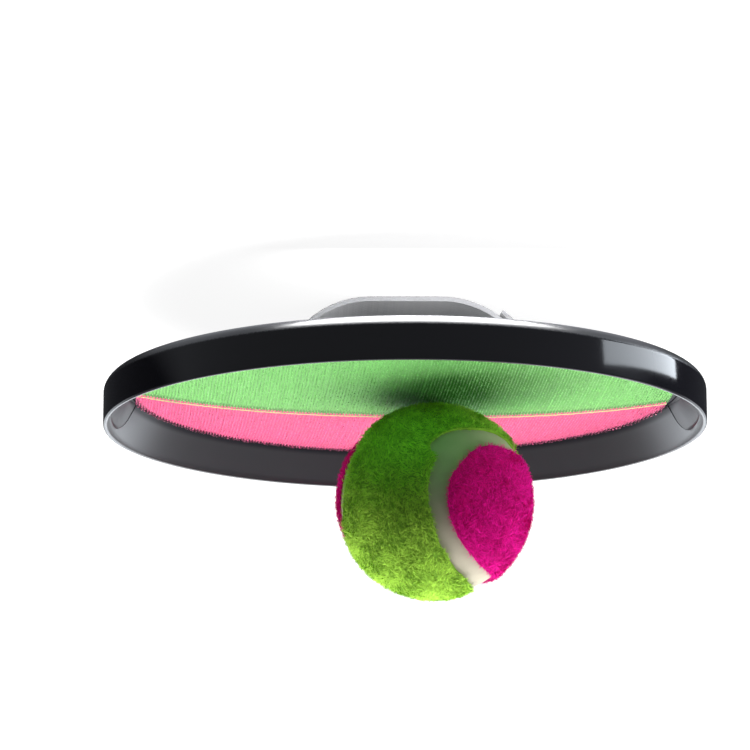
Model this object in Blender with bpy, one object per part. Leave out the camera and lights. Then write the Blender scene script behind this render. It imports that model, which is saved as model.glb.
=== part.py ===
"""Sticky catch ball set: a hook-faced catching paddle with its hand strap, and the fuzzy ball stuck to it.

The paddle lies on its back: the hook pads and the ball face up, and the flat crest of the hand strap
is what it rests on. Metres, +Z up. The origin is under the middle of the disc, at the strap's crest.
X runs along the strap, and -Y is the side of the green pad.
"""
import math

import bmesh
import bpy
from mathutils import Euler, Matrix, Vector

# Clearance between pieces that touch
gap = 0.0003

# Paddle shell, one moulding
shell_radius = 0.095
rim_width = 0.0085
lip_width = 0.0014
lip_round = 0.0006
shoulder_radius = 0.0033
plate_wall = 0.0018

# Hook pads on the domed plate, depths measured down from the lip
pad_radius = shell_radius - rim_width
pad_thickness = 0.0011
pad_centre_depth = 0.0050
pad_edge_depth = 0.0109
pad_crown_power = 2.5
pad_end_trim = 0.0022
pad_end_half = pad_radius - pad_end_trim
pad_split_offset = 0.0045
pad_turn = math.radians(-3.0)

# Scoops in the flared wall at both ends of the strap axis
scoop_half_angle = math.radians(12.6)
scoop_depth = 0.0026
scoop_top_depth = 0.0025
scoop_corner_height = 0.0050
scoop_corner_width = 0.0090
scoop_step = 0.0004

# Hand strap, one length of webbing
strap_width = 0.039
strap_thickness = 0.0016
strap_rise = 0.0242
strap_crest_half = 0.0110
strap_arch_half = 0.0390
strap_bend = 0.0014
strap_long_end = math.radians(40.0)
strap_short_end = math.radians(63.0)

# Bars on the back of the plate that the strap is looped round
bar_width = 0.0045
bar_thickness = 0.0020
bar_side_play = 0.0005
post_width = 0.0035
bar_edge = 0.0005

# Ball: rubber core with two felt panels, parted by the bare seam
ball_radius = 0.0310
felt_thickness = 0.0013
core_clearance = 0.0005
seam_width = 0.0062
seam_share = 0.802
ball_offset_x = -0.0086
ball_offset_y = -0.0134
ball_turn = Euler((math.radians(-118.3), math.radians(-53.0), math.radians(-122.0)), "XYZ")

# Facets
turn_steps = 80
pad_columns = 40
pad_rows = 6
felt_columns = 56
felt_rows = 11

# Heights that follow from the sizes above
shell_height = pad_edge_depth + pad_thickness + gap + plate_wall
lip_z = strap_rise + shell_height
lip_inner_radius = shell_radius - lip_width
floor_radius = pad_radius + gap


def clear_scene():
    for item in list(bpy.data.objects):
        bpy.data.objects.remove(item, do_unlink=True)


def make_material(name, colour, roughness, metallic=0.0):
    material = bpy.data.materials.new(name)
    material.use_nodes = True
    shader = material.node_tree.nodes["Principled BSDF"]
    shader.inputs["Base Color"].default_value = (*colour, 1.0)
    shader.inputs["Roughness"].default_value = roughness
    shader.inputs["Metallic"].default_value = metallic
    return material


def add_object(name, bm, material=None, sharp_angle=35.0):
    mesh = bpy.data.meshes.new(name)
    bm.to_mesh(mesh)
    bm.free()
    mesh.shade_smooth()
    mesh.set_sharp_from_angle(angle=math.radians(sharp_angle))
    item = bpy.data.objects.new(name, mesh)
    bpy.context.collection.objects.link(item)
    if material:
        mesh.materials.append(material)
    return item


def hide_tool(item):
    item.hide_render = True
    item.display_type = "WIRE"


def cut_or_join(item, tool, operation):
    step = item.modifiers.new(operation.lower(), "BOOLEAN")
    step.operation = operation
    step.solver = "EXACT"
    step.object = tool
    hide_tool(tool)


# Shared surfaces, as depths below the lip

def crown_depth(radius):
    """Depth of the pads' hook surface."""
    share = min(radius / pad_radius, 1.0) ** pad_crown_power
    return pad_centre_depth + (pad_edge_depth - pad_centre_depth) * share


def plate_front_depth(radius):
    return crown_depth(radius) + pad_thickness + gap


def plate_back_depth(radius):
    return plate_front_depth(radius) + plate_wall


def wall_radius(depth):
    """Radius of the flared inner wall, from the lip down to the plate."""
    share = (depth - lip_round) / (plate_front_depth(pad_radius) - lip_round)
    return lip_inner_radius + (floor_radius - lip_inner_radius) * share


# Paddle shell

def arc(centre, radius, start, end, steps):
    """Points on an arc in the section plane, angles in degrees."""
    points = []
    for i in range(steps + 1):
        angle = math.radians(start + (end - start) * i / steps)
        points.append((centre[0] + radius * math.cos(angle), centre[1] + radius * math.sin(angle)))
    return points


def shell_section():
    """(radius, z) from the axis on the front, over the lip and the shoulder, to the axis on the back."""
    shares = (0.0, 0.16, 0.32, 0.47, 0.6, 0.72, 0.82, 0.91, 1.0)
    front = [(s * pad_radius, lip_z - plate_front_depth(s * pad_radius)) for s in shares]
    front.append((floor_radius, lip_z - plate_front_depth(pad_radius)))
    lip = arc((lip_inner_radius + lip_round, lip_z - lip_round), lip_round, 180.0, 90.0, 3)
    lip += arc((shell_radius - lip_round, lip_z - lip_round), lip_round, 90.0, 0.0, 3)
    shoulder_centre = (shell_radius - shoulder_radius, strap_rise + shoulder_radius)
    shoulder = arc(shoulder_centre, shoulder_radius, 0.0, -90.0, 6)
    back = [(s * pad_radius, lip_z - plate_back_depth(s * pad_radius)) for s in reversed(shares)]
    return front + lip + shoulder + back


def turned_solid(section, steps):
    """A section that starts and ends on the Z axis, spun into a closed solid."""
    bm = bmesh.new()
    verts = [bm.verts.new((radius, 0.0, z)) for radius, z in section]
    edges = [bm.edges.new(pair) for pair in zip(verts, verts[1:])]
    bmesh.ops.spin(bm, geom=verts + edges, cent=(0, 0, 0), axis=(0, 0, 1), angle=2 * math.pi, steps=steps)
    bmesh.ops.remove_doubles(bm, verts=bm.verts, dist=1e-6)
    bmesh.ops.recalc_face_normals(bm, faces=bm.faces)
    return bm


def loft(loops):
    """Closed loops of equal length, skinned one to the next and capped."""
    bm = bmesh.new()
    rings = [[bm.verts.new(point) for point in loop] for loop in loops]
    count = len(rings[0])
    for low, high in zip(rings, rings[1:]):
        for i in range(count):
            j = (i + 1) % count
            bm.faces.new((low[i], low[j], high[j], high[i]))
    bm.faces.new(rings[0])
    bm.faces.new(rings[-1])
    bmesh.ops.recalc_face_normals(bm, faces=bm.faces)
    return bm


def scoop_cutter(name, heading):
    """A scoop with round upper corners that follows the flared wall, at one end of the strap axis."""
    bottom = plate_front_depth(pad_radius) - scoop_step
    top = scoop_top_depth - scoop_step
    columns = 10
    rows = 9
    loops = []
    for row in range(rows + 1):
        depth = bottom + (top - bottom) * row / rows
        share = (depth - scoop_top_depth) / (bottom - scoop_top_depth)
        bite = scoop_depth * (1.0 - (1.0 - share) ** 2)
        rise = min(max((scoop_top_depth + scoop_corner_height - depth) / scoop_corner_height, 0.0), 1.0)
        corner = scoop_corner_width * (1.0 - math.sqrt(1.0 - rise ** 2)) / shell_radius
        half = scoop_half_angle - corner
        floor = wall_radius(depth) + bite
        inner = floor_radius - 2 * scoop_depth
        angles = [heading + half * (2 * i / columns - 1) for i in range(columns + 1)]
        loop = [(floor * math.cos(a), floor * math.sin(a), lip_z - depth) for a in angles]
        loop += [(inner * math.cos(a), inner * math.sin(a), lip_z - depth) for a in reversed(angles)]
        loops.append(loop)
    return add_object(name, loft(loops))


def bar_inner():
    """Nearest face of a bar to the axis: just outside the strap's standing arch."""
    return strap_arch_half + gap


def bridge(name, side):
    """A bar on two posts, rooted in the plate's back, that one end of the strap goes round."""
    near = bar_inner()
    far = near + bar_width
    post_in = strap_width / 2 + bar_side_play
    post_out = post_in + post_width
    low = strap_rise
    under = strap_rise + bar_thickness
    inner_corner = math.hypot(near, post_in)
    outer_corner = math.hypot(far, post_out)
    root = lip_z - (plate_front_depth(outer_corner) + plate_back_depth(inner_corner)) / 2
    outline = [
        (-post_out, low), (post_out, low), (post_out, root), (post_in, root),
        (post_in, under), (-post_in, under), (-post_in, root), (-post_out, root),
    ]
    bm = bmesh.new()
    face = bm.faces.new([bm.verts.new((side * near, y, z)) for y, z in outline])
    grown = bmesh.ops.extrude_face_region(bm, geom=[face])
    moved = [v for v in grown["geom"] if isinstance(v, bmesh.types.BMVert)]
    bmesh.ops.translate(bm, verts=moved, vec=(side * bar_width, 0, 0))
    bmesh.ops.recalc_face_normals(bm, faces=bm.faces)
    long_edges = [e for e in bm.edges if all(abs(v.co.z - low) < gap / 10 for v in e.verts)]
    bmesh.ops.bevel(bm, geom=long_edges, offset=bar_edge, segments=2, affect="EDGES", profile=0.5)
    return add_object(name, bm)


def make_shell(material):
    shell = add_object("paddle_shell", turned_solid(shell_section(), turn_steps), material)
    for name, heading in (("scoop_right", 0.0), ("scoop_left", math.pi)):
        cut_or_join(shell, scoop_cutter(name, heading), "DIFFERENCE")
    for name, side in (("bridge_right", 1), ("bridge_left", -1)):
        cut_or_join(shell, bridge(name, side), "UNION")
    return shell


# Hook pads

def make_pad(name, side, material):
    """One part of the round pad: side -1 is the green one, +1 the pink one past the split."""
    split = pad_split_offset + side * gap / 2
    turn = Matrix.Rotation(pad_turn, 3, "Z")
    bm = bmesh.new()
    top = []
    bottom = []
    for column in range(pad_columns + 1):
        x = -pad_end_half * math.cos(math.pi * column / pad_columns)
        edge = side * math.sqrt(pad_radius ** 2 - x ** 2)
        for layer, rise in ((top, 0.0), (bottom, -pad_thickness)):
            points = []
            for row in range(pad_rows + 1):
                point = turn @ Vector((x, split + (edge - split) * row / pad_rows, 0.0))
                point.z = lip_z - crown_depth(point.length) + rise
                points.append(bm.verts.new(point))
            layer.append(points)
    for i in range(pad_columns):
        for j in range(pad_rows):
            bm.faces.new((top[i][j], top[i + 1][j], top[i + 1][j + 1], top[i][j + 1]))
            bm.faces.new((bottom[i][j], bottom[i][j + 1], bottom[i + 1][j + 1], bottom[i + 1][j]))
        for j in (0, pad_rows):
            bm.faces.new((top[i][j], bottom[i][j], bottom[i + 1][j], top[i + 1][j]))
    for i in (0, pad_columns):
        for j in range(pad_rows):
            bm.faces.new((top[i][j], top[i][j + 1], bottom[i][j + 1], bottom[i][j]))
    bmesh.ops.recalc_face_normals(bm, faces=bm.faces)
    return add_object(name, bm, material)


# Hand strap

def arch_point(angle, lift=0.0):
    """Middle of the webbing on the +X half of the arch, lifted outwards; 0 is the crest, 90 the upright end."""
    over = strap_rise + bar_thickness + gap + strap_thickness / 2
    spring = over - strap_bend
    run = strap_arch_half - strap_thickness / 2 - strap_crest_half
    rise = spring - strap_thickness / 2
    out = Vector((rise * math.sin(angle), -run * math.cos(angle))).normalized()
    base = Vector((strap_crest_half + run * math.sin(angle), spring - rise * math.cos(angle)))
    return base + lift * out


def strap_end(last_angle):
    """Webbing from the crest out over the bar, round it and back along the arch's outside."""
    middle = strap_thickness / 2
    upright = math.pi / 2
    points = [arch_point(upright * i / 16) for i in range(17)]
    foot = points[-1]
    bend = foot + Vector((strap_bend, 0.0))
    points += [Vector(p) for p in arc(bend, strap_bend, 180.0, 90.0, 5)[1:]]
    turn_radius = bar_thickness / 2 + gap + middle
    turn_centre = (bar_inner() + bar_width, strap_rise + bar_thickness / 2)
    points += [Vector(p) for p in arc(turn_centre, turn_radius, 90.0, -90.0, 12)]
    lift = strap_thickness + gap
    under = strap_rise - gap - middle
    second = (foot.x + lift + strap_bend, under - strap_bend)
    points += [Vector(p) for p in arc(second, strap_bend, 90.0, 180.0, 5)]
    first_angle = math.acos((foot.y - second[1]) / (foot.y - middle)) - math.radians(2.0)
    steps = 12
    points += [arch_point(first_angle + (last_angle - first_angle) * i / steps, lift) for i in range(1, steps + 1)]
    return points


def make_strap(material):
    """The whole ribbon: the adjusting end lies at -X, the sewn end at +X."""
    left = [Vector((-p.x, p.y)) for p in strap_end(strap_long_end)]
    path = list(reversed(left)) + strap_end(strap_short_end)
    bm = bmesh.new()
    rings = []
    for i, point in enumerate(path):
        before = path[max(i - 1, 0)]
        after = path[min(i + 1, len(path) - 1)]
        along = (after - before).normalized()
        across = Vector((-along.y, along.x)) * strap_thickness / 2
        ring = []
        for side, y in ((1, -1), (1, 1), (-1, 1), (-1, -1)):
            place = point + side * across
            ring.append(bm.verts.new((place.x, y * strap_width / 2, place.y)))
        rings.append(ring)
    for low, high in zip(rings, rings[1:]):
        for i in range(4):
            j = (i + 1) % 4
            bm.faces.new((low[i], low[j], high[j], high[i]))
    bm.faces.new(rings[0])
    bm.faces.new(rings[-1])
    bmesh.ops.recalc_face_normals(bm, faces=bm.faces)
    return add_object("hand_strap", bm, material)


# Ball

def ball_place():
    """Centre of the ball, a gap clear of the hook surface."""
    radius = math.hypot(ball_offset_x, ball_offset_y)
    z = lip_z - crown_depth(radius) + ball_radius + gap
    return Matrix.Translation((ball_offset_x, ball_offset_y, z)) @ ball_turn.to_matrix().to_4x4()


def seam_direction(t):
    """Unit vector to the seam's middle: the curve of a tennis ball."""
    wide = seam_share
    narrow = 1.0 - seam_share
    lift = 2.0 * math.sqrt(wide * narrow)
    x = wide * math.cos(t) + narrow * math.cos(3 * t)
    y = wide * math.sin(t) - narrow * math.sin(3 * t)
    return Vector((x, y, lift * math.sin(2 * t))).normalized()


def panel_edge(t):
    """Unit vector to the edge of the panel round the +Z pole, half a seam in from the seam's middle."""
    step = 0.01
    here = seam_direction(t)
    along = (seam_direction(t + step) - seam_direction(t - step)).normalized()
    inward = here.cross(along)
    angle = seam_width / 2 / ball_radius
    return (here * math.cos(angle) + inward * math.sin(angle)).normalized()


def make_panel(name, turn, material):
    """One felt panel: rings from its pole to its edge, outside and inside."""
    pole = Vector((0.0, 0.0, 1.0))
    edges = [panel_edge(2 * math.pi * i / felt_columns) for i in range(felt_columns)]
    bm = bmesh.new()
    layers = []
    for radius in (ball_radius, ball_radius - felt_thickness):
        rings = [[bm.verts.new(turn @ (pole * radius))]]
        for row in range(1, felt_rows + 1):
            share = row / felt_rows
            rings.append([bm.verts.new(turn @ (pole.slerp(edge, share) * radius)) for edge in edges])
        layers.append(rings)
    for rings in layers:
        for i in range(felt_columns):
            j = (i + 1) % felt_columns
            bm.faces.new((rings[0][0], rings[1][i], rings[1][j]))
            for low, high in zip(rings[1:], rings[2:]):
                bm.faces.new((low[i], high[i], high[j], low[j]))
    for i in range(felt_columns):
        j = (i + 1) % felt_columns
        bm.faces.new((layers[0][-1][i], layers[1][-1][i], layers[1][-1][j], layers[0][-1][j]))
    bmesh.ops.recalc_face_normals(bm, faces=bm.faces)
    panel = add_object(name, bm, material)
    panel.matrix_world = ball_place()
    return panel


def make_core(material):
    bm = bmesh.new()
    core_radius = ball_radius - felt_thickness - core_clearance
    bmesh.ops.create_uvsphere(bm, u_segments=40, v_segments=20, radius=core_radius)
    core = add_object("ball_core", bm, material)
    core.matrix_world = ball_place()
    return core


def main():
    clear_scene()
    black = make_material("black_plastic", (0.012, 0.012, 0.014), 0.25)
    green = make_material("green_hook_fabric", (0.22, 0.62, 0.20), 0.8)
    pink = make_material("pink_hook_fabric", (0.93, 0.16, 0.38), 0.8)
    webbing = make_material("grey_webbing", (0.20, 0.20, 0.21), 0.9)
    rubber = make_material("white_rubber", (0.55, 0.53, 0.46), 0.7)
    green_felt = make_material("green_felt", (0.16, 0.42, 0.03), 1.0)
    magenta_felt = make_material("magenta_felt", (0.80, 0.01, 0.22), 1.0)
    make_shell(black)
    make_pad("hook_pad_green", -1, green)
    make_pad("hook_pad_pink", 1, pink)
    make_strap(webbing)
    make_core(rubber)
    half_turn = Matrix.Rotation(math.pi, 3, "X")
    make_panel("ball_felt_green", Matrix.Identity(3), green_felt)
    make_panel("ball_felt_pink", half_turn, magenta_felt)


main()
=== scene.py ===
"""Sticky catch ball set: moulded paddle, two-colour hook pad, webbing hand strap and fuzzy felt ball.

The set lies on its back, on the flat crest of its hand strap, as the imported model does. Metres, +Z up.
The camera sees it from the photograph's angle, rolled by half a turn.
"""
import math

import bpy
import numpy as np
from mathutils import Euler, Matrix, Vector


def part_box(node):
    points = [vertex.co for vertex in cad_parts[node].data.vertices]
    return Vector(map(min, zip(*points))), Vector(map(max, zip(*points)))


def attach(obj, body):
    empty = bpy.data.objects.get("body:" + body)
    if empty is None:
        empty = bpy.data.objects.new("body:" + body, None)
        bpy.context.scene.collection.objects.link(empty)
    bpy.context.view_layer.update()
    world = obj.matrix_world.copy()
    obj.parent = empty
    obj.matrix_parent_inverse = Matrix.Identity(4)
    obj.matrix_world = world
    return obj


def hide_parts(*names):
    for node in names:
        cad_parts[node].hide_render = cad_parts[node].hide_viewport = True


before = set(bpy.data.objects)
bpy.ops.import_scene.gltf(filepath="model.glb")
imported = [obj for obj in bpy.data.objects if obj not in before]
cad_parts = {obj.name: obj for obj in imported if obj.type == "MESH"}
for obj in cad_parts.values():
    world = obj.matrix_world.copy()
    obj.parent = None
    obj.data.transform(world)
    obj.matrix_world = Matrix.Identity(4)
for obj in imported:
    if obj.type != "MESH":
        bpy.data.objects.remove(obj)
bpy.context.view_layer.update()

bl_info = {
    "name": "Sticky catch ball set",
    "version": (1, 0, 0),
    "blender": (4, 5, 0),
    "location": "3D View > Sidebar > Catch set",
    "description": "Builds the catching paddle, its hook pad and strap, the felt ball and the stage",
    "category": "Object",
}

mm = 0.001
shell_low, shell_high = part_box("paddle_shell")
core_low, core_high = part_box("ball_core")
strap_low, strap_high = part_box("hand_strap")
bake_map = "OFBake"


# Kinds of property

def kind_of(made, **settings):
    """A function that makes one kind of property from its default and description."""
    return lambda default, description: made(description=description, default=default, **settings)


plain = kind_of(bpy.props.FloatProperty)
length = kind_of(bpy.props.FloatProperty, unit="LENGTH", precision=5)
share = kind_of(bpy.props.FloatProperty, min=0.0, max=1.0, subtype="FACTOR")
angle = kind_of(bpy.props.FloatProperty, subtype="ANGLE")
number = kind_of(bpy.props.IntProperty, min=1)
colour = kind_of(bpy.props.FloatVectorProperty, min=0.0, max=1.0, subtype="COLOR")
euler = kind_of(bpy.props.FloatVectorProperty, subtype="EULER")
point = kind_of(bpy.props.FloatVectorProperty, unit="LENGTH")


# Sizes and colours

class CatchShellSettings(bpy.types.PropertyGroup):
    """Sizes and colour of the moulded paddle."""

    radius: length(shell_high.x, "Outside radius of the paddle")
    lip_height: length(shell_high.z, "Height of the lip above the table")
    back_height: length(shell_low.z, "Height of the rim's back above the table")
    lip_width: length(1.4 * mm, "Width of the lip's flat")
    lip_round: length(0.6 * mm, "Radius of the lip's edges")
    shoulder: length(3.8 * mm, "Radius between the outer wall and the back")
    plate_wall: length(1.8 * mm, "Thickness of the domed plate")
    scoop_half_angle: angle(math.radians(12.6), "Half of the angle that a scoop spans")
    scoop_depth: length(1.5 * mm, "How far a scoop bites into the flared wall")
    scoop_top: length(2.5 * mm, "Depth of a scoop's upper edge below the lip")
    scoop_corner_height: length(5.0 * mm, "Height of a scoop's round corner")
    scoop_corner_width: length(9.0 * mm, "Width of a scoop's round corner")
    bar_width: length(4.5 * mm, "Width of the bars that hold the strap")
    bar_thickness: length(2.0 * mm, "Thickness of those bars")
    bar_play: length(0.5 * mm, "Room between the strap's edge and a post")
    post_width: length(3.5 * mm, "Width of a bar's posts")
    segments: number(360, "Facets round the axis")
    black: colour((0.0085, 0.0085, 0.0125), "Colour of the moulding")


class CatchPadSettings(bpy.types.PropertyGroup):
    """Sizes and colours of the hook pad."""

    radius: length(86.5 * mm, "Radius of the round pad")
    end_half: length(84.3 * mm, "Distance of the straight cut ends from the middle")
    thickness: length(1.1 * mm, "Backing and hooks together")
    backing: length(0.70 * mm, "Thickness of the knitted backing")
    ridge: length(0.20 * mm, "Height of the backing's ridges under the rows of hooks")
    centre_depth: length(5.0 * mm, "Depth of the hook tips below the lip, at the middle")
    edge_depth: length(10.9 * mm, "Depth of the hook tips below the lip, at the edge")
    crown_power: plain(2.5, "How late the dome falls towards its edge")
    split_offset: length(4.5 * mm, "Distance of the colours' split from the middle")
    turn: angle(math.radians(-3.0), "Turn of the split line")
    gap: length(0.3 * mm, "Clearance between neighbouring pieces")
    row_pitch: length(0.98 * mm, "Distance between two rows of hooks")
    hook_pitch: length(0.62 * mm, "Distance between two hooks of a row")
    hook_width: length(0.40 * mm, "Width of a hook")
    split_shift: length(1.6 * mm, "Shift of the colours' split towards the pink side")
    # The hooks in this band along the rim are painted dark, as shade where the pad meets the wall.
    rim_shade_band: length(2.4 * mm, "Width of the dark hooks along the rim")
    hem_band: length(4.5 * mm, "Width of the darker green hooks along the split")
    green: colour((0.240, 0.610, 0.170), "Colour of the green hooks")
    pink: colour((0.880, 0.115, 0.290), "Colour of the pink hooks")


class CatchStrapSettings(bpy.types.PropertyGroup):
    """Sizes and colour of the hand strap."""

    width: length(strap_high.y - strap_low.y, "Width of the webbing")
    thickness: length(1.6 * mm, "Thickness of the webbing")
    crest_half: length(11.0 * mm, "Half of the arch's flat crest")
    arch_half: length(39.0 * mm, "Half of the arch's width at its feet")
    bend: length(1.4 * mm, "Radius of the webbing's sharp bends")
    long_end: angle(math.radians(40.0), "Where the adjusting end stops on the arch")
    short_end: angle(math.radians(63.0), "Where the sewn end stops on the arch")
    rib_pitch: length(1.5 * mm, "Distance between two ribs of the weave")
    rib_height: length(0.12 * mm, "Height of the ribs")
    grey: colour((0.290, 0.292, 0.305), "Colour of the webbing")
    thread: colour((0.26, 0.26, 0.27), "Colour of the sewing thread")


class CatchBallSettings(bpy.types.PropertyGroup):
    """Sizes and colours of the felt ball."""

    felt: length(1.3 * mm, "Thickness of the felt with its nap")
    clearance: length(0.5 * mm, "Room between the core and the felt's inside in the solids")
    nap: length(0.85 * mm, "Depth of the matted felt below the ball's surface")
    seam_width: length(6.2 * mm, "Width of the bare seam")
    seam_share: share(0.802, "Shape of the seam's curve")
    turn: euler(tuple(map(math.radians, (-118.3, -53.0, -122.0))), "Turn of the ball")
    fibres: number(43000, "Fibres on one felt panel")
    fibre_length: length(1.55 * mm, "Length of a fibre")
    fibre_width: length(0.17 * mm, "Width of a fibre")
    green: colour((0.430, 0.900, 0.080), "Colour of the green felt")
    pink: colour((1.000, 0.008, 0.300), "Colour of the pink felt")
    rubber: colour((0.460, 0.420, 0.320), "Colour of the bare rubber")


class CatchStageSettings(bpy.types.PropertyGroup):
    """The photograph's view and the studio light."""

    azimuth: angle(math.radians(1.625), "Turn of the view round the object")
    elevation: angle(math.radians(13.057), "Height of the view above the horizon")
    roll: angle(math.radians(179.785), "Roll of the camera")
    distance: length(1.3, "Distance from the camera to its target")
    target: point((9.5 * mm, -3.55 * mm, 21.85 * mm), "Point that the camera looks at")
    lens: plain(198.0, "Focal length in millimetres")
    key: plain(25.0, "Power of the key softbox in watts")
    rim: plain(10.0, "Power of the low light behind in watts")
    side: plain(7.0, "Power of the softbox at the side in watts")
    edge: plain(11.0, "Power of the softbox across from it in watts")
    fill: plain(0.035, "Strength of the even fill light")


# Shader expressions

class Socket:
    """A node's output. Arithmetic on it adds Math nodes."""

    def __init__(self, finish, output):
        self.finish = finish
        self.output = output

    def math(self, operation, *values):
        return self.finish.node("ShaderNodeMath", {"operation": operation}, dict(enumerate(values)))

    def __add__(self, other):
        return self.math("ADD", self, other)

    def __sub__(self, other):
        return self.math("SUBTRACT", self, other)

    def __rsub__(self, other):
        return self.math("SUBTRACT", other, self)

    def __mul__(self, other):
        return self.math("MULTIPLY", self, other)

    __radd__ = __add__
    __rmul__ = __mul__


class Finish:
    """One material or world and its nodes."""

    def __init__(self, data):
        self.data = data
        data.use_nodes = True
        self.tree = data.node_tree

    def node(self, kind, settings=None, inputs=None, output=0):
        made = self.tree.nodes.new(kind)
        for key, value in (settings or {}).items():
            setattr(made, key, value)
        for key, value in (inputs or {}).items():
            self.feed(made.inputs[key], value)
        return Socket(self, made.outputs[output])

    def feed(self, socket, value):
        if isinstance(value, Socket):
            self.tree.links.new(value.output, socket)
        elif socket.type == "RGBA":
            socket.default_value = (*value, 1.0)
        else:
            socket.default_value = value

    def coordinates(self):
        return self.node("ShaderNodeTexCoord", output="Object")

    def axis_distance(self):
        """Distance from the disc's axis."""
        flat = self.node(
            "ShaderNodeVectorMath", {"operation": "MULTIPLY"}, {0: self.coordinates(), 1: (1.0, 1.0, 0.0)})
        return self.node("ShaderNodeVectorMath", {"operation": "LENGTH"}, {0: flat}, "Value")

    def part(self, vector, axis):
        return self.node("ShaderNodeSeparateXYZ", None, {"Vector": vector}, axis)

    def light_path(self, name):
        return self.node("ShaderNodeLightPath", output=name)

    def noise(self, scale, detail=2.0, roughness=0.5):
        inputs = {"Vector": self.coordinates(), "Scale": scale, "Detail": detail, "Roughness": roughness}
        return self.node("ShaderNodeTexNoise", None, inputs)

    def smooth(self, value, low, high):
        """0 below low, 1 above high, and smooth between them."""
        inputs = {"Value": value, "From Min": low, "From Max": high}
        return self.node("ShaderNodeMapRange", {"interpolation_type": "SMOOTHSTEP"}, inputs)

    def mix(self, factor, low, high):
        return self.node("ShaderNodeMix", {"data_type": "RGBA"}, {0: factor, 6: low, 7: high}, output=2)

    def bump(self, height, distance, strength=1.0):
        inputs = {"Height": height, "Distance": distance, "Strength": strength}
        return self.node("ShaderNodeBump", None, inputs)

    def principled(self, **inputs):
        for key, value in inputs.items():
            self.feed(self.tree.nodes["Principled BSDF"].inputs[key.replace("_", " ")], value)
        return self.data


def tone(base, factor):
    return tuple(min(part * factor, 1.0) for part in base)


def new_finish(name):
    return Finish(bpy.data.materials.new(name))


def black_moulding(shell, pads):
    """Polished on the outer wall, satin inside, and finely grained on the shoulder and the back. Less coat
    at the inner wall's foot paints a dark band of shade beside the pad.
    """
    f = new_finish("black_moulding")
    up = f.part(f.node("ShaderNodeNewGeometry", output="Normal"), "Z")
    radius = f.axis_distance()
    speckle = f.noise(1500.0, 2.0)
    grained = f.smooth(speckle * 0.14 - up, 0.16, 0.36)
    outside = f.smooth(radius, shell.radius - 0.9 * mm, shell.radius - 0.4 * mm)
    polished = outside * (1 - grained)
    # Painted shade: foot thins the coat along the inner wall's foot, next to the pad, so that a dark band
    # shows there.
    foot = f.smooth(radius, pads.radius + 2.2 * mm, pads.radius + 1.2 * mm)
    smudge = f.noise(26.0, 3.0)
    grain = f.noise(2600.0, 2.0, roughness=0.65)
    colour_mix = f.mix(smudge, tone(shell.black, 0.8), tone(shell.black, 1.35))
    roughness = 0.07 + smudge * 0.05 + (1 - polished) * 0.22
    bump = f.bump(grain * (0.03 + grained * 0.97), 0.05 * mm, 0.5)
    return f.principled(
        Base_Color=colour_mix, Roughness=roughness, Normal=bump, Specular_IOR_Level=0.13,
        Coat_Weight=(1 - polished) * (1 - foot * 0.85), Coat_Roughness=0.36)


# glint_shade paints a highlight: hooks that get it stand in for glints of light.
glint_shade, yarn_low, yarn_shade = 0.92, 0.94, 1.0
yarn_colour = (0.62, 0.66, 0.27)


def hook_finish(name, base):
    """Nylon hooks, each with its own shade, which also holds painted glints and the painted shade along the
    rim; the lightest shade is the pale selvedge yarn.
    """
    f = new_finish(name)
    shade = f.node("ShaderNodeAttribute", {"attribute_name": "shade"}, output="Fac")
    drift = f.noise(55.0, 3.0)
    dyed = f.mix(shade * 0.85 + drift * 0.15, tone(base, 0.10), tone(base, 1.40))
    colour_mix = f.mix(f.smooth(shade, yarn_low, yarn_low + 0.03), dyed, yarn_colour)
    roughness = 0.42 + drift * 0.16
    return f.principled(Base_Color=colour_mix, Roughness=roughness, Sheen_Weight=0.15, Sheen_Roughness=0.4)


def backing_finish(name, base, dark_hem, pads):
    """Knitted backing, darker than the hooks as painted shade in the valleys between their rows, along a hem
    at the split more so, and darkest at the rim as painted shade where the pad meets the wall.
    """
    f = new_finish(name)
    knit = f.noise(900.0, 2.0)
    drift = f.noise(45.0, 2.0)
    # Painted shade: the backing's tones stay below the hooks' so that the valleys between the rows look
    # shaded.
    inner = f.mix(knit * 0.7 + drift * 0.3, tone(base, 0.60), tone(base, 1.00))
    # Painted shade: rim makes the backing darkest along the pad's rim, next to the wall.
    rim = f.smooth(f.axis_distance() + knit * 1.2 * mm, pads.radius - 1.4 * mm, pads.radius - 0.4 * mm)
    across = (-math.sin(pads.turn), math.cos(pads.turn), 0.0)
    reach = f.node(
        "ShaderNodeVectorMath", {"operation": "DOT_PRODUCT"}, {0: f.coordinates(), 1: across}, "Value")
    inset = pads.split_offset + pads.split_shift - reach + knit * 0.5 * mm
    hem = f.smooth(inset, 0.4 * mm, 1.0 * mm) * f.smooth(inset, 5.5 * mm, 2.5 * mm) * dark_hem
    colour_mix = f.mix(rim, f.mix(hem, inner, tone(base, 0.35)), tone(base, 0.16))
    return f.principled(Base_Color=colour_mix, Roughness=0.8 + drift * 0.1, Normal=f.bump(knit, 0.15 * mm))


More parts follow.
